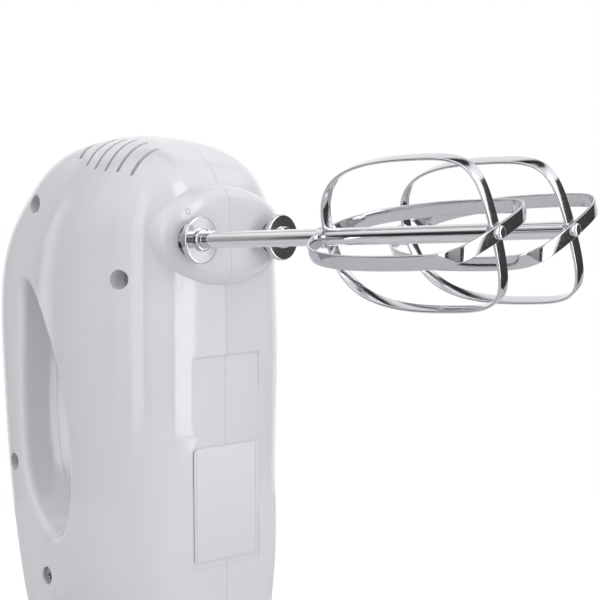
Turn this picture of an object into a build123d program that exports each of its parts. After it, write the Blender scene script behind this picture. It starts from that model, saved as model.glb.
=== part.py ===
"""A hand mixer standing on its heel, built as an assembly of separate parts.

Millimetres, +Z up. The origin lies in the foot under the heel, the beaters point along +X and
the side with the screw recesses faces -Y.
"""
from math import atan, cos, degrees, pi, radians, sin, tan

from build123d import *
import os

os.makedirs("parts", exist_ok=True)

# Housing
wall = 2.4
seam_gap = 0.08
nose_top = 182.8
nose_top_x = 9.0
foot_round = 5.0
grip_round = 3.0
boss_half_width = 32.5
boss_half_height = 18.4
boss_z = 146.3
boss_back_x = 30.0
boss_face_x = 51.8
boss_round = 7.0
recess_radius = 3.4
post_radius = 5.0
core_post_radius = 3.6
screw_hole_radius = 1.6
screw_head_radius = 2.9
screw_head_height = 2.4
screw_bite = 9.0
vent_width = 1.5
vent_pitch = 7.15
vent_first_x = 33.4
vent_count = 6
vent_start = 15.5
vent_reach = 29.6
vent_low_z = 165.5
label_width = 35.0
label_low = 30.0
label_high = 104.5
label_depth = 0.8
press_gap = 0.02

# Motor
motor_x = 25.0
shaft_radius = 3.0
run_clearance = 0.05
bearing_radius = 7.0
bearing_length = 6.0
rear_bearing_z = 16.0
front_bearing_z = 158.5
core_low = 49.0
core_high = 75.0
armature_radius = 12.4
air_gap = 0.5
stator_depth = 33.0
stator_width = 50.0
pole_width = 16.0
coil_near = 15.6
coil_thick = 4.4
commutator_radius = 9.0
commutator_low = 28.0
commutator_high = 38.0
brush_z = 33.0
shaft_low = 13.5
shaft_high = 166.0
fan_low = 86.0
fan_radius = 16.5

# Worm and wheels
beater_y = 21.1
beater_z = 145.0
worm_starts = 2
gear_teeth = 24
gear_pitch_radius = 13.5
gear_face = 9.0
wheel_relief = 0.6
tooth_width = 1.25
addendum = 1.0
dedendum = 1.25
flank_slope = tan(radians(20))
worm_low = 137.7
worm_high = 152.3
worm_pitch_radius = beater_y - gear_pitch_radius
axial_pitch = 2 * pi * gear_pitch_radius / gear_teeth
worm_lead = axial_pitch * worm_starts
lead_angle = atan(worm_lead / (2 * pi * worm_pitch_radius))

# Spindles
spindle_radius = 4.8
spindle_rear_x = 11.5
spindle_front_x = 55.2
bush_radius = 7.0
front_bush_x = 40.0
seat_radius = 9.2
bracket_x = 12.0
bracket_thick = 3.0

# Beaters
collar_front_x = 58.0
collar_radius = 8.2
collar_thick = 2.2
rod_radius = 2.8
rod_inner_x = 15.0
pin_radius = 1.6
dog_x = 46.0
dog_thick = 2.0
outer_tip = 120.2
inner_tip = 118.9
outer_base = 52.2
inner_base = 56.0
strip_width = 5.3
strip_thick = 1.2
left_rest_angle = 19.5
right_rest_angle = 23.5

# Controls on the back of the grip
eject_z = 148.0
eject_width = 16.0
eject_height = 12.0
stem_radius = 4.0
spring_rib_x = -19.5
yoke_x = -4.2
speed_travel = 16.0
speed_z = 110.0
speed_slot = 2.6
knob_out_x = -64.4
knob_in_x = -61.2
carriage_x = -56.8
speed_switch_x = -54.6
turbo_z = 79.0
turbo_radius = 6.5
turbo_flange_x = -55.8
gland_z = 20.0
gland_radius = 6.0
gland_out_x = -57.0
gland_in_x = -46.0
cord_radius = 3.3

# One row per height of the moulded body: height, belly x, back x, half width, grip half width
body_levels = [
    (0.0, 45.0, -46.0, 35.5, 19.0),
    (22.0, 45.0, -53.5, 37.3, 18.0),
    (50.0, 46.0, -58.0, 38.7, 17.2),
    (85.0, 47.2, -60.4, 39.7, 17.0),
    (115.0, 48.4, -60.8, 40.0, 17.2),
    (135.0, 48.6, -58.0, 39.4, 18.6),
    (150.0, 48.4, -51.0, 38.0, 20.2),
    (160.0, 47.4, -42.5, 34.6, 21.2),
    (168.0, 44.8, -34.5, 30.0, 21.0),
    (174.0, 39.8, -27.0, 25.0, 19.6),
    (178.5, 32.2, -18.0, 19.0, 16.2),
    (181.4, 22.5, -6.5, 11.5, 10.4),
]

# Screw posts: x and z of each axis, which runs across the body
screw_places = [(34.7, 132.4), (-25.5, 159.8), (-47.2, 63.0), (12.0, 10.0), (-27.0, 22.0)]
screw_heads = [-30.0, -13.0, -10.0, -26.0, -16.0]


def section_points(belly, back, half, grip):
    """Half of the pear section, from the middle of the belly round to the back of the grip."""
    corner = 0.5 * half
    tail = 0.8 * grip
    points = [(belly, 0), (belly - 0.004 * half, 0.25 * half), (belly - 0.012 * half, half - corner)]
    for angle in (30, 60, 90):
        crown = 0.012 * half * (1 - angle / 90)
        corner_x = belly - crown - corner * (1 - cos(radians(angle)))
        points.append((corner_x, half - corner * (1 - sin(radians(angle)))))
    flank = belly - corner - back - tail
    for step in (0.2, 0.4, 0.6, 0.8, 1.0):
        blend = 0.5 * (1 + cos(pi * step**1.15))
        points.append((belly - corner - step * flank, grip + (half - grip) * blend))
    points.append((back + tail * (1 - cos(radians(45))), grip * sin(radians(45))))
    points.append((back, 0))
    return points


def body_sections(inset):
    """The closed sections from the foot to the tip of the nose, set in by the wall for the hollow."""
    rise = (nose_top - 2 * inset) / nose_top
    faces = []
    for height, belly, back, half, grip in body_levels:
        points = section_points(belly - inset, back + inset, half - inset, grip - inset)
        mirrored = [(x, -y) for x, y in points]
        with BuildSketch(Plane.XY.offset(inset + height * rise), mode=Mode.PRIVATE) as level:
            with BuildLine():
                Spline(*points, tangents=((0, 1), (0, -1)))
                Spline(*mirrored, tangents=((0, -1), (0, 1)))
            make_face()
        faces.append(level.sketch.face())
    return faces + [Vertex(nose_top_x, 0, nose_top - inset)]


def grip_outline(grow):
    """The finger opening seen from the side, grown by the wall for the hollow."""
    opening = Spline(
        (-37.4, 123), (-33.4, 131), (-27.6, 126), (-12.2, 111), (-2.6, 98.5), (2.7, 77), (2.6, 58),
        (-4, 44), (-17, 39), (-30, 43.5), (-37, 55), (-40.2, 75), (-39.7, 102), periodic=True,
    )
    stations = [step / 32 for step in range(32)]
    grown = [opening @ t + (opening % t).rotate(Axis.Z, 90) * grow for t in stations]
    with BuildSketch(Plane.XZ, mode=Mode.PRIVATE) as outline:
        with BuildLine():
            if grow > 0:
                Spline(*grown, periodic=True)
            else:
                add(opening)
        make_face()
    return outline.sketch.face()


def coil(radius, wire, turns, pitch, start, direction):
    """A helical spring of round wire that starts at a point and runs along a direction."""
    with BuildPart() as spring:
        with BuildLine():
            path = Helix(pitch, pitch * turns, radius, center=start, direction=direction)
        with BuildSketch(Plane(origin=path @ 0, z_dir=path % 0)):
            Circle(wire / 2)
        sweep(is_frenet=True)
    return spring.part


# The oval boss round the two beater sockets
with BuildPart() as boss:
    with BuildSketch(Plane.YZ.offset(boss_back_x)):
        with Locations((0, boss_z)):
            Ellipse(boss_half_width, boss_half_height)
    extrude(amount=boss_face_x - boss_back_x)
    fillet(boss.faces().sort_by(Axis.X)[-1].edges(), radius=boss_round)

# The outer skin: lofted body, rounded foot, finger opening and boss, then its near half
with BuildPart() as skin:
    loft(body_sections(0))
    fillet(skin.edges().group_by(Axis.Z)[0], radius=foot_round)
    extrude(grip_outline(0), amount=60, both=True, mode=Mode.SUBTRACT)
    long_edges = skin.edges().filter_by(lambda edge: edge.length > 150 and abs(edge.center().Y) > 8)
    rim = long_edges.filter_by(lambda edge: edge.center().X < 0)
    fillet(rim, radius=grip_round)
    add(boss.part)
    split(bisect_by=Plane.XZ.offset(seam_gap), keep=Keep.TOP)

# What stands in the hollow: screw posts, bearing ribs, stator ribs, bracket ledges and bush seats
with BuildPart() as standing:
    with BuildSketch(Plane.YZ.offset(front_bush_x - 2)):
        with Locations((-beater_y, beater_z), (beater_y, beater_z)):
            Circle(seat_radius)
    extrude(amount=20)
    with BuildSketch(Plane.XZ.offset(-60)):
        with Locations(*screw_places):
            Circle(core_post_radius)
    extrude(amount=120)
    for place, head_y in zip(screw_places, screw_heads):
        with BuildSketch(Plane.XZ.offset(-head_y - 2)):
            with Locations(place):
                Circle(post_radius)
        extrude(amount=60)
    for rib_z in (rear_bearing_z, front_bearing_z):
        with Locations((motor_x, 0, rib_z + bearing_length / 2)):
            Box(24, 90, bearing_length - 1)
    for rib_z in (core_low + 5, core_high - 5):
        with Locations((motor_x, 0, rib_z)):
            Box(60, 90, 3)
    for rib_x in (bracket_x - 1.6, bracket_x + bracket_thick + 1.6):
        with Locations((rib_x, 34, beater_z), (rib_x, -34, beater_z)):
            Box(3, 9, 26)
    with Locations((spring_rib_x, 0, 151)):
        Box(2.5, 90, 20)

# The hollow inside the near half of the body and the boss
with BuildPart() as hollow:
    loft(body_sections(wall))
    split(bisect_by=Plane.XZ.offset(-1), keep=Keep.TOP)
    extrude(grip_outline(wall), amount=60, both=True, mode=Mode.SUBTRACT)
    with BuildSketch(Plane.YZ.offset(boss_back_x)):
        with Locations((0, boss_z)):
            Ellipse(boss_half_width - wall, boss_half_height - wall)
    extrude(amount=boss_face_x - boss_back_x - wall - 1.2)
    add(standing.part, mode=Mode.SUBTRACT)

# Everything bored or cut through both halves together
with BuildPart() as cuts:
    for bearing_z in (rear_bearing_z, front_bearing_z):
        with Locations((motor_x, 0, bearing_z + bearing_length / 2)):
            Cylinder(bearing_radius + press_gap, bearing_length)
            Cylinder(shaft_radius + 1.2, bearing_length + 8)
    with Locations((motor_x, 0, (core_low + core_high) / 2)):
        Box(stator_depth + 2 * press_gap, stator_width + 2 * press_gap, core_high - core_low)
    with BuildSketch(Plane.YZ.offset(front_bush_x - 3)):
        with Locations((-beater_y, beater_z), (beater_y, beater_z)):
            Circle(bush_radius + press_gap)
    extrude(amount=12.5)
    with BuildSketch(Plane.YZ.offset(front_bush_x)):
        with Locations((-beater_y, beater_z), (beater_y, beater_z)):
            Circle(spindle_radius + 0.5)
    extrude(amount=20)
    with BuildSketch(Plane.YZ.offset(motor_x - gear_face / 2 - wheel_relief)):
        with Locations((-beater_y, beater_z), (beater_y, beater_z)):
            Circle(gear_pitch_radius + addendum + wheel_relief)
    extrude(amount=gear_face + 2 * wheel_relief)
    with BuildSketch(Plane.YZ.offset(spring_rib_x - 5)):
        with Locations((0, eject_z)):
            Circle(stem_radius + run_clearance)
    extrude(amount=10)
    with BuildSketch(Plane.YZ.offset(-80)):
        with Locations((0, eject_z)):
            RectangleRounded(eject_width + 0.6, eject_height + 0.6, 2.8)
        with Locations((0, speed_z - speed_travel / 2)):
            RectangleRounded(2 * speed_slot, speed_travel + 8.4, 1.2)
        with Locations((0, turbo_z)):
            Circle(turbo_radius + run_clearance)
        with Locations((0, gland_z)):
            Circle(gland_radius + press_gap)
    extrude(amount=38)
    label_middle = (47.0, 0, (label_low + label_high) / 2)
    belly_plane = Plane(origin=label_middle, x_dir=(0, 1, 0), z_dir=(1, 0, -0.033))
    with BuildSketch(belly_plane.offset(-label_depth)):
        RectangleRounded(label_width, label_high - label_low, 1.2)
    extrude(amount=8)
    for row in range(vent_count):
        slot_x = vent_first_x - vent_pitch * row
        slot_in = vent_start - 1.9 * row
        slot_out = vent_reach - 0.4 * row**2
        with BuildSketch(Plane.XY.offset(vent_low_z)):
            with Locations((slot_x, (slot_out + slot_in) / 2), (slot_x, -(slot_out + slot_in) / 2)):
                SlotOverall(slot_out - slot_in, vent_width, rotation=90)
        extrude(amount=30)

# One half shell; the far half is its mirror image
with BuildPart() as half_shell:
    add(skin.part)
    add(hollow.part, mode=Mode.SUBTRACT)
    for cut in cuts.solids().filter_by(lambda solid: solid.center().Y < 1):
        add(cut, mode=Mode.SUBTRACT)

# The near half carries the screw recesses
with BuildPart() as recesses:
    with BuildSketch(Plane.XZ.offset(-1)):
        with Locations(*screw_places):
            Circle(screw_hole_radius + 0.25)
    extrude(amount=60)
    for place, head_y in zip(screw_places, screw_heads):
        with BuildSketch(Plane.XZ.offset(-head_y)):
            with Locations(place):
                Circle(recess_radius)
        extrude(amount=60)
with BuildPart() as left_housing:
    add(half_shell.part)
    for recess in recesses.solids():
        add(recess, mode=Mode.SUBTRACT)
left_housing.part.label = "left_housing"
export_step(left_housing.part, "parts/left_housing.step")

# The far half takes the screw threads in blind holes
with BuildPart() as right_housing:
    add(half_shell.part)
    mirror(about=Plane.XZ, mode=Mode.REPLACE)
    with BuildSketch(Plane.XZ.offset(1)):
        with Locations(*screw_places):
            Circle(screw_hole_radius + press_gap)
    extrude(amount=-(screw_bite + 2), mode=Mode.SUBTRACT)
right_housing.part.label = "right_housing"
export_step(right_housing.part, "parts/right_housing.step")

# Self-tapping screws that hold the halves together, all alike in one node
with BuildPart() as housing_screws:
    for place, head_y in zip(screw_places, screw_heads):
        with BuildSketch(Plane.XZ.offset(-head_y)):
            with Locations(place):
                Circle(screw_head_radius)
        extrude(amount=screw_head_height)
        with BuildSketch(Plane.XZ.offset(-head_y)):
            with Locations(place):
                Circle(screw_hole_radius)
        extrude(amount=-(screw_bite - head_y))
        cross_depth = -head_y + screw_head_height - 1.0
        with BuildSketch(Plane.XZ.offset(cross_depth)):
            with Locations(place):
                Rectangle(3.4, 0.8)
                Rectangle(0.8, 3.4)
        extrude(amount=2, mode=Mode.SUBTRACT)
housing_screws.part.label = "housing_screws"
export_step(housing_screws.part, "parts/housing_screws.step")

# The bush that the mains cord passes through, with a flange behind the wall
with BuildPart() as cord_gland:
    with BuildSketch(Plane.YZ.offset(gland_out_x)):
        with Locations((0, gland_z)):
            Circle(gland_radius)
    extrude(amount=gland_in_x - gland_out_x)
    with BuildSketch(Plane.YZ.offset(gland_in_x)):
        with Locations((0, gland_z)):
            Circle(gland_radius + 2)
    extrude(amount=2)
    chamfer(cord_gland.edges().group_by(Axis.X)[0], length=1)
    with BuildSketch(Plane.YZ.offset(gland_out_x - 1)):
        with Locations((0, gland_z)):
            Circle(cord_radius)
    extrude(amount=30, mode=Mode.SUBTRACT)
cord_gland.part.label = "cord_gland"
export_step(cord_gland.part, "parts/cord_gland.step")

# Plain bearings for the motor shaft
for name, low in (("rear_bearing", rear_bearing_z), ("front_bearing", front_bearing_z)):
    with BuildPart() as bearing:
        with Locations((motor_x, 0, low + bearing_length / 2)):
            Cylinder(bearing_radius, bearing_length)
            Cylinder(shaft_radius + run_clearance, bearing_length + 2, mode=Mode.SUBTRACT)
    bearing.part.label = name
    export_step(bearing.part, f"parts/{name}.step")

# The motor's laminated field core with two poles across the body
with BuildPart() as stator_core:
    with BuildSketch(Plane.XY.offset(core_low)):
        with Locations((motor_x, 0)):
            RectangleRounded(stator_depth, stator_width, 4)
            RectangleRounded(stator_depth - 6, stator_width - 9, 1.5, mode=Mode.SUBTRACT)
            Rectangle(pole_width, stator_width - 2)
            Circle(armature_radius + air_gap + 1.6)
            Rectangle(stator_depth, 9, mode=Mode.SUBTRACT)
            Circle(armature_radius + air_gap, mode=Mode.SUBTRACT)
            Rectangle(stator_depth, 9)
            Rectangle(stator_depth - 6, 10, mode=Mode.SUBTRACT)
    extrude(amount=core_high - core_low)
stator_core.part.label = "stator_core"
export_step(stator_core.part, "parts/stator_core.step")

# The field coils, wound round the poles
for name, sign in (("left_field_coil", -1), ("right_field_coil", 1)):
    with BuildPart() as field_coil:
        with BuildSketch(Plane.XZ.offset(-sign * coil_near)):
            with Locations((motor_x, (core_low + core_high) / 2)):
                RectangleRounded(pole_width + 9, core_high - core_low + 9, 4)
                RectangleRounded(pole_width + 0.2, core_high - core_low + 0.2, 0.05, mode=Mode.SUBTRACT)
        extrude(amount=-sign * coil_thick)
    field_coil.part.label = name
    export_step(field_coil.part, f"parts/{name}.step")

# The slotted rotor core
with BuildPart() as armature_core:
    with BuildSketch(Plane.XY.offset(core_low)):
        with Locations((motor_x, 0)):
            Circle(armature_radius)
            Circle(shaft_radius + press_gap, mode=Mode.SUBTRACT)
            with PolarLocations(armature_radius - 2.6, 12):
                Circle(1.7, mode=Mode.SUBTRACT)
            with PolarLocations(armature_radius - 0.6, 12):
                Rectangle(2.6, 1.2, mode=Mode.SUBTRACT)
    extrude(amount=core_high - core_low)
armature_core.part.label = "armature_core"
export_step(armature_core.part, "parts/armature_core.step")

# The rotor's winding heads, one at each end of the core
with BuildPart() as armature_winding:
    for low, high in ((core_high + 0.02, core_high + 6), (core_low - 6, core_low - 0.02)):
        with BuildSketch(Plane.XZ):
            with Locations((motor_x + 7.8, (low + high) / 2)):
                RectangleRounded(6.4, high - low, 2)
        revolve(axis=Axis((motor_x, 0, 0), (0, 0, 1)))
armature_winding.part.label = "armature_winding"
export_step(armature_winding.part, "parts/armature_winding.step")

# The commutator with its copper bars parted by slots
with BuildPart() as commutator:
    with BuildSketch(Plane.XY.offset(commutator_low)):
        with Locations((motor_x, 0)):
            Circle(commutator_radius)
            Circle(shaft_radius + press_gap, mode=Mode.SUBTRACT)
            with PolarLocations(commutator_radius - 0.4, 24):
                Rectangle(1.2, 0.4, mode=Mode.SUBTRACT)
    extrude(amount=commutator_high - commutator_low)
    with Locations((motor_x, 0, commutator_high + 1.2)):
        Cylinder(commutator_radius + 1, 2.4)
        Cylinder(shaft_radius + press_gap, 4, mode=Mode.SUBTRACT)
commutator.part.label = "commutator"
export_step(commutator.part, "parts/commutator.step")

# The cooling fan with swept blades under its plate
with BuildPart() as cooling_fan:
    with Locations((motor_x, 0, fan_low + 0.7)):
        Cylinder(fan_radius, 1.4)
    with Locations((motor_x, 0, fan_low + 4.5)):
        Cylinder(5.4, 9)
    with BuildSketch(Plane.XY.offset(fan_low + 1.4)):
        with Locations((motor_x, 0)):
            with PolarLocations(10.6, 10):
                Rectangle(11, 1.2, rotation=24)
    extrude(amount=7)
    with Locations((motor_x, 0, fan_low + 5)):
        Cylinder(shaft_radius + press_gap, 20, mode=Mode.SUBTRACT)
cooling_fan.part.label = "cooling_fan"
export_step(cooling_fan.part, "parts/cooling_fan.step")

# The motor shaft, with its two-start worm turned in one piece
worm_half = tooth_width / 2
tip_angle = degrees(2 * pi * (worm_half - addendum * flank_slope) / worm_lead)
root_angle = degrees(2 * pi * (worm_half + dedendum * flank_slope) / worm_lead)
worm_tip = worm_pitch_radius + addendum
worm_root = worm_pitch_radius - dedendum


def worm_point(radius, angle):
    """A point of the worm's cross-section in polar form."""
    return (radius * cos(radians(angle)), radius * sin(radians(angle)))


worm_turn = 360 * (worm_low - beater_z) / worm_lead
worm_x_dir = (cos(radians(worm_turn)), sin(radians(worm_turn)), 0)
worm_base = Plane(origin=(motor_x, 0, worm_low), x_dir=worm_x_dir)
with BuildSketch(worm_base, mode=Mode.PRIVATE) as worm_section:
    with BuildLine():
        for start in (90, 270):
            Line(worm_point(worm_root, start - root_angle), worm_point(worm_tip, start - tip_angle))
            ThreePointArc(
                worm_point(worm_tip, start - tip_angle),
                worm_point(worm_tip, start),
                worm_point(worm_tip, start + tip_angle),
            )
            Line(worm_point(worm_tip, start + tip_angle), worm_point(worm_root, start + root_angle))
            ThreePointArc(
                worm_point(worm_root, start + root_angle),
                worm_point(worm_root, start + 90),
                worm_point(worm_root, start + 180 - root_angle),
            )
    make_face()
worm_rise = worm_high - worm_low
worm_solid = Solid.extrude_linear_with_rotation(
    worm_section.sketch.face(), (motor_x, 0, worm_low), (0, 0, worm_rise), 360 * worm_rise / worm_lead
)
with BuildPart() as motor_shaft:
    add(worm_solid)
    with Locations((motor_x, 0, (shaft_low + shaft_high) / 2)):
        Cylinder(shaft_radius, shaft_high - shaft_low)
    chamfer(motor_shaft.edges().group_by(Axis.Z)[0], length=0.5)
    chamfer(motor_shaft.edges().group_by(Axis.Z)[-1], length=0.5)
motor_shaft.part.label = "motor_shaft"
export_step(motor_shaft.part, "parts/motor_shaft.step")

# Brush gear on both sides of the commutator: holder, carbon and spring
for side, sign in (("left", -1), ("right", 1)):
    with BuildPart() as brush_holder:
        with Locations((motor_x, sign * 20.5, brush_z)):
            Box(8.4, 20, 11)
            Box(5.1, 24, 7.1, mode=Mode.SUBTRACT)
        with Locations((motor_x, sign * 29.6, brush_z)):
            Box(8.4, 1.8, 11)
    brush_holder.part.label = f"{side}_brush_holder"
    export_step(brush_holder.part, f"parts/{side}_brush_holder.step")
    with BuildPart() as carbon_brush:
        with Locations((motor_x, sign * 14.55, brush_z)):
            Box(5.0, 10.9, 7.0)
    carbon_brush.part.label = f"{side}_carbon_brush"
    export_step(carbon_brush.part, f"parts/{side}_carbon_brush.step")
    brush_spring = coil(1.7, 0.5, 6, 1.35, (motor_x, sign * 20.3, brush_z), (0, sign, 0))
    brush_spring.label = f"{side}_brush_spring"
    export_step(brush_spring, f"parts/{side}_brush_spring.step")

# The plate behind the wheels that carries the rear spindle bushes
with BuildPart() as gear_bracket:
    with BuildSketch(Plane.YZ.offset(bracket_x)):
        with Locations((0, beater_z - 2.5)):
            RectangleRounded(64, 20, 3)
            Rectangle(18, 30, mode=Mode.SUBTRACT)
        with Locations((0, beater_z - 9)):
            Rectangle(30, 6)
        with Locations((-beater_y, beater_z), (beater_y, beater_z)):
            Circle(bush_radius + press_gap, mode=Mode.SUBTRACT)
    extrude(amount=bracket_thick)
gear_bracket.part.label = "gear_bracket"
export_step(gear_bracket.part, "parts/gear_bracket.step")

# Bushes of the two spindles
for side, sign in (("left", -1), ("right", 1)):
    for end, low, length in (("rear", bracket_x, bracket_thick + 2), ("front", front_bush_x, 9)):
        with BuildPart() as bush:
            with BuildSketch(Plane.YZ.offset(low)):
                with Locations((sign * beater_y, beater_z)):
                    Circle(bush_radius)
                    Circle(spindle_radius + run_clearance, mode=Mode.SUBTRACT)
            extrude(amount=length)
        bush.part.label = f"{side}_{end}_bush"
        export_step(bush.part, f"parts/{side}_{end}_bush.step")


def wheel_points():
    """The outline of a wheel, with a tooth space facing the worm."""
    half_tip = degrees((tooth_width / 2 - addendum * flank_slope) / (gear_pitch_radius + addendum))
    half_root = degrees((tooth_width / 2 + dedendum * flank_slope) / (gear_pitch_radius - dedendum))
    points = []
    for tooth in range(gear_teeth):
        middle = (tooth + 0.5) * 360 / gear_teeth
        for radius, angle in (
            (gear_pitch_radius - dedendum, middle - half_root),
            (gear_pitch_radius + addendum, middle - half_tip),
            (gear_pitch_radius + addendum, middle + half_tip),
            (gear_pitch_radius - dedendum, middle + half_root),
        ):
            points.append((radius * cos(radians(angle)), radius * sin(radians(angle))))
    return points


# Worm wheels, spindles and ejector pins on both beater axes
wheel_twist = degrees(tan(lead_angle) / gear_pitch_radius * gear_face / 2)
for side, sign in (("left", -1), ("right", 1)):
    wheel_faces = []
    for end in (-1, 1):
        wheel_centre = (motor_x + end * gear_face / 2, sign * beater_y, beater_z)
        wheel_plane = Plane(origin=wheel_centre, x_dir=(0, 1, 0), z_dir=(1, 0, 0))
        with BuildSketch(wheel_plane, mode=Mode.PRIVATE) as wheel_section:
            Polygon(*wheel_points(), align=None, rotation=end * wheel_twist)
        wheel_faces.append(wheel_section.sketch.face())
    with BuildPart() as worm_wheel:
        loft(wheel_faces, ruled=True)
        with BuildSketch(Plane.YZ.offset(motor_x - gear_face / 2 - 2)):
            with Locations((sign * beater_y, beater_z)):
                Circle(8)
        extrude(amount=gear_face + 4)
        with BuildSketch(Plane.YZ.offset(motor_x - gear_face)):
            with Locations((sign * beater_y, beater_z)):
                Circle(spindle_radius + press_gap)
        extrude(amount=2 * gear_face, mode=Mode.SUBTRACT)
    worm_wheel.part.label = f"{side}_worm_wheel"
    export_step(worm_wheel.part, f"parts/{side}_worm_wheel.step")

    rest_angle = left_rest_angle if sign < 0 else right_rest_angle
    with BuildPart() as spindle:
        with BuildSketch(Plane.YZ.offset(spindle_rear_x)):
            with Locations((sign * beater_y, beater_z)):
                Circle(spindle_radius)
                Circle(rod_radius + run_clearance, mode=Mode.SUBTRACT)
        extrude(amount=spindle_front_x - spindle_rear_x)
        with BuildSketch(Plane.YZ.offset(dog_x - 1.5)):
            with Locations((sign * beater_y, beater_z)):
                Rectangle(12, dog_thick + 0.3, rotation=rest_angle)
        extrude(amount=20, mode=Mode.SUBTRACT)
    spindle.part.label = f"{side}_spindle"
    export_step(spindle.part, f"parts/{side}_spindle.step")

    with BuildPart() as ejector_pin:
        with BuildSketch(Plane.YZ.offset(-1)):
            with Locations((sign * beater_y, beater_z)):
                Circle(4.2)
        extrude(amount=2)
        with BuildSketch(Plane.YZ):
            with Locations((sign * beater_y, beater_z)):
                Circle(rod_radius)
        extrude(amount=rod_inner_x - 0.1)
    ejector_pin.part.label = f"{side}_ejector_pin"
    export_step(ejector_pin.part, f"parts/{side}_ejector_pin.step")

    with BuildPart() as beater_rod:
        with BuildSketch(Plane.YZ.offset(rod_inner_x)):
            with Locations((sign * beater_y, beater_z)):
                Circle(rod_radius)
        extrude(amount=collar_front_x + inner_tip - strip_thick - rod_inner_x)
        chamfer(beater_rod.edges().group_by(Axis.X)[0], length=0.8)
        with BuildSketch(Plane.YZ.offset(dog_x)):
            with Locations((sign * beater_y, beater_z)):
                Rectangle(8.6, dog_thick, rotation=rest_angle)
        extrude(amount=6)
        with BuildSketch(Plane.YZ.offset(collar_front_x + outer_base + strip_thick / 2 + 0.05)):
            with Locations((sign * beater_y, beater_z)):
                Circle(rod_radius + 0.9)
        extrude(amount=inner_base - outer_base - strip_thick - 0.1)
        with BuildSketch(Plane.YZ.offset(collar_front_x + inner_tip - 3)):
            with Locations((sign * beater_y, beater_z)):
                Circle(pin_radius)
        extrude(amount=outer_tip - inner_tip + 3 + strip_thick / 2 + 0.2)
        with BuildSketch(Plane.YZ.offset(collar_front_x + outer_tip + strip_thick / 2 + 0.02)):
            with Locations((sign * beater_y, beater_z)):
                Circle(2.2)
        extrude(amount=1.1)
        fillet(beater_rod.edges().group_by(Axis.X)[-1], radius=0.9)
    beater_rod.part.label = f"{side}_beater_rod"
    export_step(beater_rod.part, f"parts/{side}_beater_rod.step")

    with BuildPart() as beater_collar:
        with BuildSketch(Plane.YZ.offset(collar_front_x - collar_thick)):
            with Locations((sign * beater_y, beater_z)):
                Circle(collar_radius)
        extrude(amount=collar_thick)
        fillet(beater_collar.edges(), radius=0.5)
        with BuildSketch(Plane.YZ.offset(collar_front_x)):
            with Locations((sign * beater_y, beater_z)):
                Circle(rod_radius + 1.1)
        extrude(amount=1.2)
        fillet(beater_collar.edges().group_by(Axis.X)[-1], radius=0.6)
        with BuildSketch(Plane.YZ.offset(collar_front_x - 5)):
            with Locations((sign * beater_y, beater_z)):
                Circle(rod_radius + press_gap)
        extrude(amount=10, mode=Mode.SUBTRACT)
    beater_collar.part.label = f"{side}_beater_collar"
    export_step(beater_collar.part, f"parts/{side}_beater_collar.step")

    for loop_name, base, tip, angle in (
        ("outer", outer_base, outer_tip, rest_angle),
        ("inner", inner_base, inner_tip, rest_angle + 90),
    ):
        loop_plane = Plane(
            origin=(collar_front_x, sign * beater_y, beater_z),
            x_dir=(1, 0, 0),
            z_dir=(0, -sin(radians(angle)), cos(radians(angle))),
        )
        bends = [
            (base, 10.6, 12),
            (base + 11.2, 22.0, 28),
            (base + 36, 26.3, 90),
            (tip - 6.6, 25.5, 8.5),
            (tip - 0.9, 13.2, 25),
        ]
        corners = [(u, r) for u, r, bend in bends] + [(tip, 5)]
        mirrored_corners = [(u, -r) for u, r in reversed(corners)]
        with BuildPart() as beater_loop:
            with BuildSketch(loop_plane) as strip:
                Polygon(*corners, *mirrored_corners, align=None)
                for u, r, bend in bends:
                    for at in (Vector(u, r), Vector(u, -r)):
                        fillet(strip.vertices().sort_by_distance(at)[0], radius=bend)
                inside = offset(amount=-strip_thick / 2, mode=Mode.PRIVATE)
                offset(amount=strip_thick / 2, kind=Kind.ARC, mode=Mode.REPLACE)
                add(inside, mode=Mode.SUBTRACT)
            extrude(amount=strip_width / 2, both=True)
            with BuildSketch(Plane.YZ.offset(collar_front_x + base - 3)):
                with Locations((sign * beater_y, beater_z)):
                    Circle(rod_radius + press_gap)
            extrude(amount=6, mode=Mode.SUBTRACT)
            with BuildSketch(Plane.YZ.offset(collar_front_x + tip - 3)):
                with Locations((sign * beater_y, beater_z)):
                    Circle(pin_radius + press_gap)
            extrude(amount=6, mode=Mode.SUBTRACT)
        beater_loop.part.label = f"{side}_{loop_name}_loop"
        export_step(beater_loop.part, f"parts/{side}_{loop_name}_loop.step")

# The ejector button, its top cut to the slope of the nose
with BuildPart() as eject_button:
    with BuildSketch(Plane.XZ):
        low_z = eject_z - eject_height / 2
        high_z = eject_z + eject_height / 2
        Polygon((-42, low_z), (-42, high_z), (-52, high_z), (-58, low_z), align=None)
    extrude(amount=eject_width / 2, both=True)
    fillet(eject_button.edges().filter_by(lambda e: e.center().X < -43), radius=2)
eject_button.part.label = "eject_button"
export_step(eject_button.part, "parts/eject_button.step")

# The stem and yoke that push both pins
with BuildPart() as ejector_yoke:
    with BuildSketch(Plane.YZ.offset(-42)):
        with Locations((0, eject_z)):
            Circle(stem_radius)
    extrude(amount=yoke_x + 42)
    with BuildSketch(Plane.YZ.offset(yoke_x)):
        with Locations((0, beater_z)):
            SlotCenterToCenter(2 * beater_y, 10)
        with Locations((0, eject_z - 1)):
            Circle(7)
    extrude(amount=3)
ejector_yoke.part.label = "ejector_yoke"
export_step(ejector_yoke.part, "parts/ejector_yoke.step")

ejector_spring = coil(5.2, 0.8, 6, 3.3, (-41.4, 0, eject_z), (1, 0, 0))
ejector_spring.label = "ejector_spring"
export_step(ejector_spring, "parts/ejector_spring.step")

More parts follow.
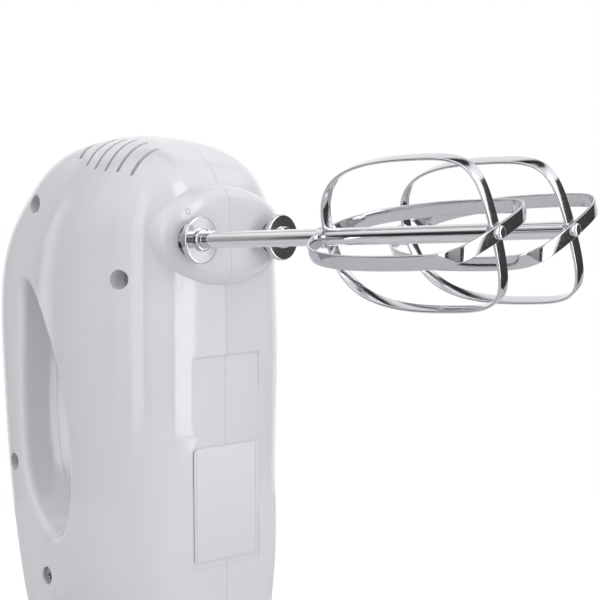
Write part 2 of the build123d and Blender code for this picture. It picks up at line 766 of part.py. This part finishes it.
# The sliding speed knob with grip ridges, and the carriage behind the slot
with BuildPart() as speed_knob:
    with BuildSketch(Plane.YZ.offset(knob_out_x)):
        with Locations((0, speed_z)):
            RectangleRounded(12, 14, 3)
    extrude(amount=knob_in_x - knob_out_x)
    fillet(speed_knob.edges().group_by(Axis.X)[0], radius=1.2)
    with BuildSketch(Plane.YZ.offset(knob_out_x - 0.4)):
        with GridLocations(1, 2.2, 1, 5):
            with Locations((0, speed_z)):
                Rectangle(8, 1)
    extrude(amount=1, mode=Mode.SUBTRACT)
    with BuildSketch(Plane.YZ.offset(knob_in_x - 0.5)):
        with Locations((0, speed_z)):
            RectangleRounded(2 * speed_slot - 0.2, 8, 1.2)
    extrude(amount=carriage_x - knob_in_x + 0.5)
speed_knob.part.label = "speed_knob"
export_step(speed_knob.part, "parts/speed_knob.step")

with BuildPart() as speed_carriage:
    with BuildSketch(Plane.YZ.offset(carriage_x)):
        with Locations((0, speed_z)):
            RectangleRounded(9, 14, 2)
    extrude(amount=1.8)
speed_carriage.part.label = "speed_carriage"
export_step(speed_carriage.part, "parts/speed_carriage.step")

# The speed switch that the carriage sweeps over
with BuildPart() as speed_switch:
    with BuildSketch(Plane.YZ.offset(speed_switch_x)):
        with Locations((0, speed_z - speed_travel / 2)):
            Rectangle(14, 30)
    extrude(amount=5.6)
    with BuildSketch(Plane.YZ.offset(speed_switch_x + 5.6)):
        with Locations((0, speed_z - speed_travel / 2)):
            with GridLocations(6, 10, 2, 3):
                Rectangle(0.8, 4.8)
    extrude(amount=4)
speed_switch.part.label = "speed_switch"
export_step(speed_switch.part, "parts/speed_switch.step")

# The boost button, its spring and its switch
with BuildPart() as turbo_button:
    with BuildSketch(Plane.YZ.offset(-63.4)):
        with Locations((0, turbo_z)):
            Circle(turbo_radius)
    extrude(amount=turbo_flange_x + 63.4)
    fillet(turbo_button.edges().group_by(Axis.X)[0], radius=1.2)
    with BuildSketch(Plane.YZ.offset(turbo_flange_x)):
        with Locations((0, turbo_z)):
            Circle(turbo_radius + 1.1)
    extrude(amount=1.4)
turbo_button.part.label = "turbo_button"
export_step(turbo_button.part, "parts/turbo_button.step")

turbo_spring = coil(3.6, 0.6, 4, 1.7, (turbo_flange_x + 1.85, 0, turbo_z), (1, 0, 0))
turbo_spring.label = "turbo_spring"
export_step(turbo_spring, "parts/turbo_spring.step")

with BuildPart() as turbo_switch:
    with Locations((-44.9, 0, turbo_z)):
        Box(3.4, 16, 18)
    fillet(turbo_switch.edges().filter_by(Axis.X), radius=1.5)
turbo_switch.part.label = "turbo_switch"
export_step(turbo_switch.part, "parts/turbo_switch.step")

# The interference capacitor in the heel
with BuildPart() as suppressor:
    with Locations((-8, 0, 20)):
        Box(12, 22, 18)
    fillet(suppressor.edges(), radius=1.5)
suppressor.part.label = "suppressor"
export_step(suppressor.part, "parts/suppressor.step")
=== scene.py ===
from math import pi, radians

import bpy
from mathutils import Matrix, Vector


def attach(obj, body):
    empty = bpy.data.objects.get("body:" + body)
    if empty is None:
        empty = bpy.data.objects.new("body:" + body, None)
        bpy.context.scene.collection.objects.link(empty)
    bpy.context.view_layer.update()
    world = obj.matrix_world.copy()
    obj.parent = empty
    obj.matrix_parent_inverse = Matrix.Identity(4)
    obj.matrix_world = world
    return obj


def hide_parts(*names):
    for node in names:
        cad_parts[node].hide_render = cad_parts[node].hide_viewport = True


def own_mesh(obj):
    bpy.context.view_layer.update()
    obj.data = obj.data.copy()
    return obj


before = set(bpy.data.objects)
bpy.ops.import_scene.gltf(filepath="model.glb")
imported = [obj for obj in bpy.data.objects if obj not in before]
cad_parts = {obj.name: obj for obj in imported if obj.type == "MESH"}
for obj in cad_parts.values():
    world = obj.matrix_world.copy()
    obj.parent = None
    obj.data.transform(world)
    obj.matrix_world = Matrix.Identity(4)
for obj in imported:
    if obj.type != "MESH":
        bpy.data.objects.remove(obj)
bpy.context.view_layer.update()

# The housing halves are moulded in glossy white plastic and meet along the middle of the body.
# The mould leaves a faint ripple in the surface and a slightly uneven gloss.
mm = 0.001


class Shade:
    """A socket in a node tree, so that shader maths reads as Python."""

    def __init__(self, tree, socket=None):
        self.tree = tree
        self.socket = socket

    def node(self, kind, settings=None, sockets=None, out=0):
        """Add a node with its settings, then the values or links of its sockets."""
        made = self.tree.nodes.new("ShaderNode" + kind)
        for name, value in (settings or {}).items():
            setattr(made, name, value)
        for name, value in (sockets or {}).items():
            if isinstance(value, Shade):
                self.tree.links.new(value.socket, made.inputs[name])
            else:
                made.inputs[name].default_value = value
        return Shade(self.tree, made.outputs[out])

    def maths(self, operation, first, second):
        return self.node("Math", {"operation": operation}, {0: first, 1: second})

    def __add__(self, other):
        return self.maths("ADD", self, other)

    def __radd__(self, other):
        return self.maths("ADD", other, self)

    def __rsub__(self, other):
        return self.maths("SUBTRACT", other, self)

    def __mul__(self, other):
        return self.maths("MULTIPLY", self, other)

    def __rmul__(self, other):
        return self.maths("MULTIPLY", other, self)

    def ramp(self, low, high, start=0.0, end=1.0):
        """A smooth step of this value, from start to end as it goes from low to high."""
        limits = {"From Min": low, "From Max": high, "To Min": start, "To Max": end}
        smooth = {"interpolation_type": "SMOOTHSTEP"}
        return self.node("MapRange", smooth, {"Value": self, **limits})

    def mix(self, low, high):
        """A colour between two, by this value."""
        return self.node("Mix", {"data_type": "RGBA"}, {0: self, 6: low, 7: high}, out=2)

    def noise(self, scale, detail=2.0):
        """Noise over the piece, with this vector as its place."""
        return self.node("TexNoise", None, {"Vector": self, "Scale": scale, "Detail": detail})

    def bands(self, direction, period):
        """Even waves along one axis of the piece, with this vector as its place."""
        wave = {"wave_type": "BANDS", "bands_direction": direction}
        wave_angle = 20
        scale = 2 * pi / wave_angle / period
        return self.node("TexWave", wave, {"Vector": self, "Scale": scale})

    def feed(self, shader, name):
        self.tree.links.new(self.socket, shader.inputs[name])


def new_material(name):
    """A material, the place on the piece that its patterns read, and its shader."""
    material = bpy.data.materials.new(name)
    material.use_nodes = True
    place = Shade(material.node_tree).node("TexCoord", out="Object")
    return material, place, material.node_tree.nodes["Principled BSDF"]


def tint(colour, factor):
    return (*[channel * factor for channel in colour], 1)


def raise_surface(height, shader, strength, depth):
    """Bump a surface by a height in steps of a depth in metres."""
    sockets = {"Height": height, "Strength": strength, "Distance": depth}
    height.node("Bump", None, sockets).feed(shader, "Normal")


def plastic(name, colour, gloss, ripple):
    """Moulded plastic: uneven in colour and gloss, with a ripple in its surface."""
    material, place, shader = new_material(name)
    clouds = place.noise(26.0)
    waves = place.noise(70.0, 1.0)
    smears = place.noise(90.0)
    grain = place.noise(1500.0)
    clouds.mix(tint(colour, 0.96), tint(colour, 1.0)).feed(shader, "Base Color")
    (gloss * (0.6 + 0.5 * grain + 0.3 * smears)).feed(shader, "Roughness")
    raise_surface(waves + 0.05 * grain, shader, ripple, 0.5 * mm)
    shader.inputs["IOR"].default_value = 1.5
    return material


def paint(node, material):
    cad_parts[node].data.materials.clear()
    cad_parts[node].data.materials.append(material)


white_shell = plastic("white_shell", (0.73, 0.718, 0.762), gloss=0.07, ripple=0.06)
for side in ("left", "right"):
    paint(f"{side}_housing", white_shell)


# A blank foil label lies in the shallow recess on the belly, across the seam. It is cut from a
# sheet with rounded corners, and a fine grey line is printed down each side.
def apply_place(piece):
    """Put an object's place and turn into its mesh."""
    bpy.ops.object.select_all(action="DESELECT")
    bpy.context.view_layer.objects.active = piece
    piece.select_set(True)
    bpy.ops.object.transform_apply(location=True, rotation=True, scale=True)


def aimed(place, outward, up=(0, 0, 1)):
    """The placement of a flat piece whose face looks outward."""
    normal = Vector(outward).normalized()
    across = Vector(up).cross(normal).normalized()
    turn = Matrix((across, normal.cross(across), normal)).transposed().to_4x4()
    return Matrix.Translation(place) @ turn


label_width = 33 * mm
label_height = 40 * mm
label_thick = 0.15 * mm
label_corner = 1.5 * mm
label_middle = (45.96 * mm, 0, 52.5 * mm)
belly_outward = (1, 0, -0.033)
bpy.ops.object.select_all(action="DESELECT")
bpy.ops.mesh.primitive_plane_add(size=1)
label = bpy.context.object
label.name = "blank_label"
label.scale = (label_width, label_height, 1)
apply_place(label)
bpy.ops.object.mode_set(mode="EDIT")
bpy.ops.mesh.select_all(action="SELECT")
bpy.ops.mesh.bevel(offset=label_corner, segments=6, affect="VERTICES")
bpy.ops.mesh.extrude_region_move(TRANSFORM_OT_translate={"value": (0, 0, label_thick)})
bpy.ops.mesh.select_all(action="SELECT")
bpy.ops.mesh.normals_make_consistent(inside=False)
bpy.ops.object.mode_set(mode="OBJECT")
label.matrix_world = aimed(label_middle, belly_outward)
apply_place(label)

foil_colour = (0.7, 0.7, 0.74, 1)
line_colour = (0.5, 0.5, 0.52, 1)
line_outer = 0.9 * mm
line_inner = 1.2 * mm
line_fade = 0.1 * mm
label_foil, place, shader = new_material("label_foil")
sideways = place.node("SeparateXYZ", None, {0: place}, out="Y")
from_edge = label_width / 2 - sideways.maths("ABSOLUTE", sideways, 0.0)
past_line = from_edge.ramp(line_inner, line_inner + line_fade)
side_line = from_edge.ramp(line_outer, line_outer + line_fade) * (1 - past_line)
side_line.mix(foil_colour, line_colour).feed(shader, "Base Color")
(0.28 + 0.1 * place.noise(800.0)).feed(shader, "Roughness")
raise_surface(place.noise(400.0), shader, 0.06, 0.05 * mm)
shader.inputs["Metallic"].default_value = 0.2
label.data.materials.append(label_foil)
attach(label, "housing")

# A tiny ring stands proud of the boss beside the near socket, a mark for which beater fits there.
# It is moulded with the shell, in the same white plastic.
ring_radius = 0.95 * mm
ring_edge = 0.22 * mm
ring_sunk = 0.1 * mm
ring_middle = (51.46 * mm, -20.77 * mm, 155.01 * mm)
boss_outward = (0.951, -0.154, 0.268)
bpy.ops.object.select_all(action="DESELECT")
bpy.ops.mesh.primitive_torus_add(
    major_radius=ring_radius, minor_radius=ring_edge, major_segments=36, minor_segments=10
)
ring_mark = bpy.context.object
ring_mark.name = "socket_ring_mark"
bpy.ops.object.mode_set(mode="EDIT")
bpy.ops.mesh.select_all(action="SELECT")
bpy.ops.mesh.bisect(
    plane_co=(0, 0, -ring_sunk), plane_no=(0, 0, 1), use_fill=True, clear_inner=True
)
bpy.ops.object.mode_set(mode="OBJECT")
bpy.ops.object.shade_smooth_by_angle(angle=radians(40))
ring_mark.matrix_world = aimed(ring_middle, boss_outward)
apply_place(ring_mark)
ring_mark.data.materials.append(white_shell)
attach(ring_mark, "housing")


# The housing screws are zinc-plated self-tapping screws, driven to the bottom of their recesses.
# Their plating is faintly yellow and scuffed by the driver.
def metal(name, colour, smoothest, roughest, grain_scale, dent):
    """Bare or plated metal with fine grain in its gloss and tiny dents."""
    material, place, shader = new_material(name)
    grain = place.noise(grain_scale, 3.0)
    stains = place.noise(140.0)
    shader.inputs["Metallic"].default_value = 1.0
    stains.mix(tint(colour, 0.82), tint(colour, 1.0)).feed(shader, "Base Color")
    (smoothest + (roughest - smoothest) * grain).feed(shader, "Roughness")
    raise_surface(grain, shader, dent, 0.1 * mm)
    return material


zinc_screw = metal("zinc_screw", (0.52, 0.51, 0.5), 0.28, 0.5, grain_scale=900.0, dent=0.25)
paint("housing_screws", zinc_screw)

# The cord gland is a soft light grey bush; the motor bearings and spindle bushes are sintered
# bronze, pressed from powder, so their surface is porous and full of oil.
paint("cord_gland", plastic("rubber_bush", (0.45, 0.45, 0.46), gloss=0.5, ripple=0.2))
sintered_bronze = metal(
    "sintered_bronze", (0.55, 0.4, 0.2), 0.35, 0.6, grain_scale=2600.0, dent=0.6
)
for node in ("rear_bearing", "front_bearing"):
    paint(node, sintered_bronze)
for side in ("left", "right"):
    paint(f"{side}_rear_bush", sintered_bronze)
    paint(f"{side}_front_bush", sintered_bronze)


# The motor cores are stacks of half-millimetre steel sheets, and the coils are wound from
# enamelled copper wire, so both are striped.
def striped(name, colour, direction, period, metallic, rough):
    """A stack of sheets or turns of wire: even ridges along one axis, with dark joints."""
    material, place, shader = new_material(name)
    ridges = place.bands(direction, period)
    shader.inputs["Metallic"].default_value = metallic
    ridges.ramp(0.0, 0.5).mix(tint(colour, 0.35), tint(colour, 1.0)).feed(shader, "Base Color")
    (rough + 0.2 * place.noise(700.0)).feed(shader, "Roughness")
    raise_surface(ridges, shader, 0.6, 0.2 * mm)
    return material


sheet_stack = striped(
    "lamination_steel", (0.4, 0.41, 0.43), "Z", 0.5 * mm, metallic=1.0, rough=0.35
)
paint("stator_core", sheet_stack)
paint("armature_core", sheet_stack)
field_wire = striped(
    "field_winding", (0.58, 0.22, 0.08), "Y", 0.55 * mm, metallic=0.85, rough=0.25
)
rotor_wire = striped("rotor_winding", (0.62, 0.26, 0.1), "Z", 0.6 * mm, metallic=0.85, rough=0.25)
for side in ("left", "right"):
    paint(f"{side}_field_coil", field_wire)
paint("armature_winding", rotor_wire)

# The commutator is turned copper, worn to a film where the brushes run; the brushes are pressed
# carbon in brass holders, pushed by drawn steel springs.
turned_copper = striped(
    "commutator_copper", (0.7, 0.36, 0.18), "Z", 0.25 * mm, metallic=1.0, rough=0.2
)
paint("commutator", turned_copper)
carbon = plastic("carbon", (0.035, 0.035, 0.037), gloss=0.55, ripple=0.6)
brass_holder = metal("brass_holder", (0.74, 0.56, 0.24), 0.2, 0.42, grain_scale=500.0, dent=0.15)
spring_steel = metal("spring_steel", (0.6, 0.61, 0.63), 0.16, 0.34, grain_scale=1200.0, dent=0.15)
for side in ("left", "right"):
    paint(f"{side}_brush_holder", brass_holder)
    paint(f"{side}_carbon_brush", carbon)
    paint(f"{side}_brush_spring", spring_steel)


# The return springs of the eject button and of the boost button are open coils of drawn steel
# wire with cut ends. Each stands against a rib, and its button presses it shorter; here each coil
# is built at one length.
def return_spring(name, node, coil_radius, wire_size, turns, pitch, start, height):
    """An open coil from its button to its rib."""
    bpy.ops.object.select_all(action="DESELECT")
    bpy.ops.mesh.primitive_circle_add(
        vertices=14, radius=wire_size / 2, location=(0, 0, coil_radius), rotation=(pi / 2, 0, 0)
    )
    spring = bpy.context.object
    spring.name = name
    apply_place(spring)
    bpy.ops.object.modifier_add(type="SCREW")
    winding = spring.modifiers["Screw"]
    winding.axis = "X"
    winding.screw_offset = pitch
    winding.iterations = turns
    winding.steps = 24
    winding.render_steps = 24
    bpy.ops.object.modifier_apply(modifier="Screw")
    bpy.ops.object.mode_set(mode="EDIT")
    bpy.ops.mesh.select_mode(type="EDGE")
    bpy.ops.mesh.select_all(action="DESELECT")
    bpy.ops.mesh.select_non_manifold()
    bpy.ops.mesh.fill_holes(sides=0)
    bpy.ops.mesh.select_all(action="SELECT")
    bpy.ops.mesh.normals_make_consistent(inside=False)
    bpy.ops.object.mode_set(mode="OBJECT")
    bpy.ops.object.shade_smooth_by_angle(angle=radians(50))
    spring.location = (start, 0, height)
    apply_place(spring)
    spring.data.materials.append(spring_steel)
    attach(spring, "housing")
    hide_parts(node)
    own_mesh(spring)


return_spring(
    "eject_coil", "ejector_spring", coil_radius=5.2 * mm, wire_size=0.8 * mm,
    turns=6, pitch=3.3 * mm, start=-41.4 * mm, height=148 * mm,
)
return_spring(
    "boost_coil", "turbo_spring", coil_radius=3.6 * mm, wire_size=0.6 * mm,
    turns=4, pitch=1.7 * mm, start=-53.95 * mm, height=79 * mm,
)

# The fan, the switches and the carriage are moulded in black plastic with a matt grain, and the
# suppressor is a yellow film capacitor in a hard case.
black_plastic = plastic("black_plastic", (0.028, 0.028, 0.031), gloss=0.38, ripple=0.25)
paint("cooling_fan", plastic("fan_plastic", (0.05, 0.05, 0.055), gloss=0.42, ripple=0.2))
for node in ("speed_switch", "turbo_switch", "speed_carriage"):
    paint(node, black_plastic)
paint("suppressor", plastic("capacitor_yellow", (0.7, 0.48, 0.06), gloss=0.32, ripple=0.12))

# The shaft with its worm, the spindles and the pins are turned steel, with the fine rings of the
# tool. The wheels are moulded nylon, milky and slightly greasy, the bracket that carries them is
# pressed from steel sheet, and the yoke behind the pins is moulded.
steel_colour = (0.6, 0.61, 0.63)
tool_feed = 0.18 * mm
turned_along_z = striped("turned_shaft", steel_colour, "Z", tool_feed, metallic=1.0, rough=0.16)
turned_along_x = striped("turned_spindle", steel_colour, "X", tool_feed, metallic=1.0, rough=0.16)
nylon_wheel = plastic("nylon_wheel", (0.74, 0.71, 0.6), gloss=0.3, ripple=0.1)
nylon_shader = nylon_wheel.node_tree.nodes["Principled BSDF"]
nylon_shader.inputs["Subsurface Weight"].default_value = 0.2
nylon_shader.inputs["Subsurface Scale"].default_value = 2 * mm
bracket_steel = metal("bracket_steel", (0.55, 0.56, 0.58), 0.3, 0.5, grain_scale=600.0, dent=0.2)
paint("motor_shaft", turned_along_z)
paint("gear_bracket", bracket_steel)
paint("ejector_yoke", plastic("ejector_plastic", (0.5, 0.5, 0.52), gloss=0.3, ripple=0.1))
for side in ("left", "right"):
    paint(f"{side}_worm_wheel", nylon_wheel)
    paint(f"{side}_spindle", turned_along_x)
    paint(f"{side}_ejector_pin", turned_along_x)


# The beaters are formed from flat steel strip and rod, riveted at the tip and chromium plated.
# The plating is bright but not flat: it ripples over the bent strip and is finely pitted.
def chrome(name, colour, ripple_scale, ripple, pits):
    """Bright plating over rolled steel, with soft ripples and fine pits."""
    material, place, shader = new_material(name)
    shader.inputs["Metallic"].default_value = 1.0
    clouds = place.noise(60.0)
    speckle = place.noise(2400.0, 2.0)
    clouds.mix(tint(colour, 0.88), tint(colour, 1.0)).feed(shader, "Base Color")
    (0.05 + pits * speckle.ramp(0.5, 0.75)).feed(shader, "Roughness")
    raise_surface(place.noise(ripple_scale, 1.0) + 0.09 * speckle, shader, ripple, 0.4 * mm)
    return material


rod_chrome = chrome("rod_chrome", (0.84, 0.85, 0.87), ripple_scale=60.0, ripple=0.06, pits=0.1)
for side in ("left", "right"):
    paint(f"{side}_beater_rod", rod_chrome)

# Each collar is a washer pressed on its rod, faced on a lathe before plating, so that fine rings
# run round its face under the chrome.
beater_height = 145 * mm
beater_sides = {"left": -21.1 * mm, "right": 21.1 * mm}
groove_colour = (0.62, 0.63, 0.66, 1)
ridge_colour = (0.76, 0.77, 0.79, 1)
for side, across in beater_sides.items():
    collar_chrome, place, shader = new_material(f"{side}_collar_chrome")
    shader.inputs["Metallic"].default_value = 1.0
    to_axis = {"Vector": place, "Location": (0, -across, -beater_height)}
    centred = place.node("Mapping", None, to_axis)
    rings = {"wave_type": "RINGS", "rings_direction": "X"}
    lathe_feed = {"Vector": centred, "Scale": 420.0, "Distortion": 1.0}
    turning = centred.node("TexWave", rings, lathe_feed)
    turning.mix(groove_colour, ridge_colour).feed(shader, "Base Color")
    (0.035 + 0.05 * turning * place.noise(900.0)).feed(shader, "Roughness")
    raise_surface(turning, shader, 0.03, 0.1 * mm)
    paint(f"{side}_beater_collar", collar_chrome)

# Each beater has two loops of flat steel wire, bent round a former into a rounded D, crossed and
# riveted at the tip. Flat wire is rolled, so its edges are round, and it is plated after bending.
wire_width = 4.9 * mm
wire_thick = 0.9 * mm
collar_front = 58 * mm
strip_chrome = chrome(
    "strip_chrome", (0.69, 0.7, 0.725), ripple_scale=130.0, ripple=0.12, pits=0.16
)


def flat_wire_loop(name, base, widest, tip, radius, base_pull):
    """A flat loop along X, from its base past its widest place to its tip."""
    tip_pull = 24.3 * mm
    back_pull = 0.77 * (widest - base)
    front_pull = 0.86 * (tip - widest)
    bpy.ops.object.select_all(action="DESELECT")
    bpy.ops.curve.primitive_bezier_circle_add()
    wire = bpy.context.object
    wire.name = name
    for point, middle, before, after in zip(
        wire.data.splines[0].bezier_points,
        ((base, 0), (widest, radius), (tip, 0), (widest, -radius)),
        ((0, -base_pull), (-back_pull, 0), (0, tip_pull), (front_pull, 0)),
        ((0, base_pull), (front_pull, 0), (0, -tip_pull), (-back_pull, 0)),
    ):
        point.handle_left_type = "FREE"
        point.handle_right_type = "FREE"
        point.co = (*middle, 0)
        point.handle_left = (middle[0] + before[0], middle[1] + before[1], 0)
        point.handle_right = (middle[0] + after[0], middle[1] + after[1], 0)
    wire.data.twist_mode = "Z_UP"
    wire.data.fill_mode = "FULL"
    wire.data.bevel_depth = wire_thick / 2
    wire.data.bevel_resolution = 3
    wire.data.extrude = (wire_width - wire_thick) / 2
    wire.data.splines[0].resolution_u = 40
    bpy.ops.object.convert(target="MESH")
    return wire


for side, rest_angle in (("left", 19.5), ("right", 23.5)):
    outer_wire = flat_wire_loop(
        f"{side}_outer_flat_wire", base=53 * mm, widest=97 * mm, tip=120.3 * mm,
        radius=24.5 * mm, base_pull=13.5 * mm,
    )
    inner_wire = flat_wire_loop(
        f"{side}_inner_flat_wire", base=55.7 * mm, widest=93 * mm, tip=119.3 * mm,
        radius=24.8 * mm, base_pull=17 * mm,
    )
    beater_start = Matrix.Translation((collar_front, beater_sides[side], beater_height))
    for loop, wire, angle in (
        ("outer", outer_wire, rest_angle),
        ("inner", inner_wire, rest_angle + 90),
    ):
        wire.matrix_world = beater_start @ Matrix.Rotation(radians(angle), 4, "X")
        apply_place(wire)
        wire.data.materials.append(strip_chrome)
        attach(wire, f"{side}_beater")
        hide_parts(f"{side}_{loop}_loop")

# The eject button, the speed knob and the boost button on the back of the grip are moulded in
# light grey plastic, a little duller than the shell, and laid in before the halves close.
grey_control = plastic("grey_control", (0.42, 0.43, 0.45), gloss=0.24, ripple=0.1)
for node in ("eject_button", "speed_knob", "turbo_button"):
    paint(node, grey_control)

# A scale of raised figures is moulded beside the speed slot and printed grey, one figure for each
# place where the knob clicks in.
figure_size = 3.6 * mm
figure_rise = 0.12 * mm
figure_side = -9.4 * mm
first_figure_height = 110 * mm
click_step = 4 * mm
behind_grip = -90 * mm
figures = []
for step in range(5):
    start = (behind_grip, figure_side, first_figure_height - click_step * step)
    near_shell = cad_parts["left_housing"]
    _, spot, outward, _ = near_shell.ray_cast(start, (1, 0, 0))
    bpy.ops.object.select_all(action="DESELECT")
    bpy.ops.object.text_add()
    figure = bpy.context.object
    figure.data.body = str(step)
    figure.data.size = figure_size
    figure.data.extrude = figure_rise
    figure.data.align_x = "CENTER"
    figure.data.align_y = "CENTER"
    bpy.ops.object.convert(target="MESH")
    figure.matrix_world = aimed(spot, outward)
    apply_place(figure)
    figures.append(figure)
bpy.ops.object.select_all(action="DESELECT")
for figure in figures:
    figure.select_set(True)
bpy.context.view_layer.objects.active = figures[0]
bpy.ops.object.join()
speed_scale = bpy.context.object
speed_scale.name = "speed_scale"
scale_print = plastic("scale_print", (0.16, 0.165, 0.18), gloss=0.35, ripple=0.1)
speed_scale.data.materials.append(scale_print)
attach(speed_scale, "housing")

# The floor is a round pale sheet of matt paper that the mixer stands on. It is cut from a square by
# rounding its corners, and it shows white to the camera, as an overexposed sheet does.
floor_size = 0.76
floor_corner = 0.375
floor_middle = (0.05, 0, -0.3 * mm)
bpy.ops.object.select_all(action="DESELECT")
bpy.ops.mesh.primitive_plane_add(size=floor_size, location=floor_middle)
floor = bpy.context.object
floor.name = "studio_floor"
bpy.ops.object.mode_set(mode="EDIT")
bpy.ops.mesh.select_all(action="SELECT")
bpy.ops.mesh.bevel(offset=floor_corner, segments=24, affect="VERTICES")
bpy.ops.object.mode_set(mode="OBJECT")
floor_paper, place, shader = new_material("studio_floor")
clouds = place.noise(3.0)
clouds.mix((0.68, 0.68, 0.685, 1), (0.72, 0.72, 0.725, 1)).feed(shader, "Base Color")
shader.inputs["Roughness"].default_value = 0.85
glow = place.node("Emission", None, {"Strength": 1.1})
seen = place.node("LightPath", out="Is Camera Ray")
matt = Shade(floor_paper.node_tree, shader.outputs["BSDF"])
white_sheet = place.node("MixShader", None, {0: 0.85 * seen, 1: matt, 2: glow})
white_sheet.feed(floor_paper.node_tree.nodes["Material Output"], "Surface")
floor.data.materials.append(floor_paper)

# The camera stands where the photograph was taken from, level with the beaters and turned to the
# belly, with a long lens.
bpy.ops.object.camera_add()
camera = bpy.context.object
camera.name = "photo_camera"
camera.data.lens = 110.67
camera.data.sensor_width = 36
camera.data.clip_start = 10 * mm
camera_right = Vector((0.764375, 0.644122, -0.029352))
camera_up = Vector((-0.002545, 0.048534, 0.998820))
camera_back = camera_right.cross(camera_up)
camera_turn = Matrix((camera_right, camera_up, camera_back)).transposed().to_4x4()
camera.matrix_world = Matrix.Translation((0.486004, -0.477521, 0.147965)) @ camera_turn
bpy.context.scene.camera = camera

# The studio is a white room, brighter in front of the belly, with tall soft boxes. Dark gaps stand
# between them, which the chrome mirrors, and the camera itself sees plain white.
studio = bpy.data.worlds.new("studio")
studio.use_nodes = True
bpy.context.scene.world = studio
bpy.context.scene.view_settings.view_transform = "Standard"
background = studio.node_tree.nodes["Background"]
background.inputs["Color"].default_value = (1, 1, 1, 1)
toward = Shade(studio.node_tree).node("TexCoord", out="Generated")
east = toward.node("SeparateXYZ", None, {0: toward}, out="X")
north = toward.node("SeparateXYZ", None, {0: toward}, out="Y")
height = toward.node("SeparateXYZ", None, {0: toward}, out="Z")
bearing = toward.maths("ARCTAN2", north, east)


def between(value, low, high, edge):
    """One where a value lies between two limits, with soft edges, and zero elsewhere."""
    return value.ramp(low - edge, low + edge) * (1 - value.ramp(high - edge, high + edge))


def sector(first, last, edge):
    """One between two bearings in degrees, and zero elsewhere."""
    return between(bearing, radians(first), radians(last), edge)


left_box = sector(-74, -49, 0.02) * between(height, -0.45, 0.8, 0.05)
right_box = sector(22, 43, 0.02) * between(height, -0.4, 0.6, 0.05)
high_box = sector(30, 78, 0.1) * between(height, 0.42, 0.74, 0.03)
back_wall = sector(92, 172, 0.1) * between(height, -0.2, 0.76, 0.05)
left_sky = sector(-175, -80, 0.2) * height.ramp(0.2, 0.8)
camera_gap = sector(-48, -33, 0.04) * between(height, -0.7, 0.5, 0.1)
dark_slot = sector(9, 20, 0.03) * between(height, -0.5, 0.5, 0.1)
dark_wall = sector(47.7, 80, 0.01) * between(height, -0.6, 0.38, 0.03)
dark_side = sector(-131, -112, 0.03) * between(height, -0.17, 0.5, 0.05)
dark_lid = sector(60, 140, 0.2) * between(height, 0.8, 0.92, 0.02)
front = sector(-33, 9, 0.04)
room = (0.42 + 0.74 * east.ramp(-0.6, 0.9)) * height.ramp(-0.7, 0.1, 0.55, 1.0)
room = room * (1 - 0.55 * front)
for dark in (camera_gap, dark_wall, dark_slot, dark_side, dark_lid):
    room = room * (1 - 0.93 * dark)
boxes = 1.35 * left_box + 2.9 * right_box + 0.25 * high_box
light = room + boxes + 0.6 * back_wall + 0.65 * left_sky
seen = toward.node("LightPath", out="Is Camera Ray")
(seen + (1 - seen) * light).feed(background, "Strength")

# One large soft box hangs above the mixer, to the near side, and gives its soft shadow. It is a
# lamp behind a white cloth, aimed at the middle of the body.
bpy.ops.object.light_add(type="AREA", location=(0.15, -0.35, 0.9))
top_box = bpy.context.object
top_box.name = "top_soft_box"
top_box.data.shape = "RECTANGLE"
top_box.data.size = 0.9
top_box.data.size_y = 0.7
top_box.data.energy = 0.4
body_middle = Vector((0.05, 0, 0.1))
aim = body_middle - top_box.location
top_box.rotation_euler = aim.to_track_quat("-Z", "Y").to_euler()
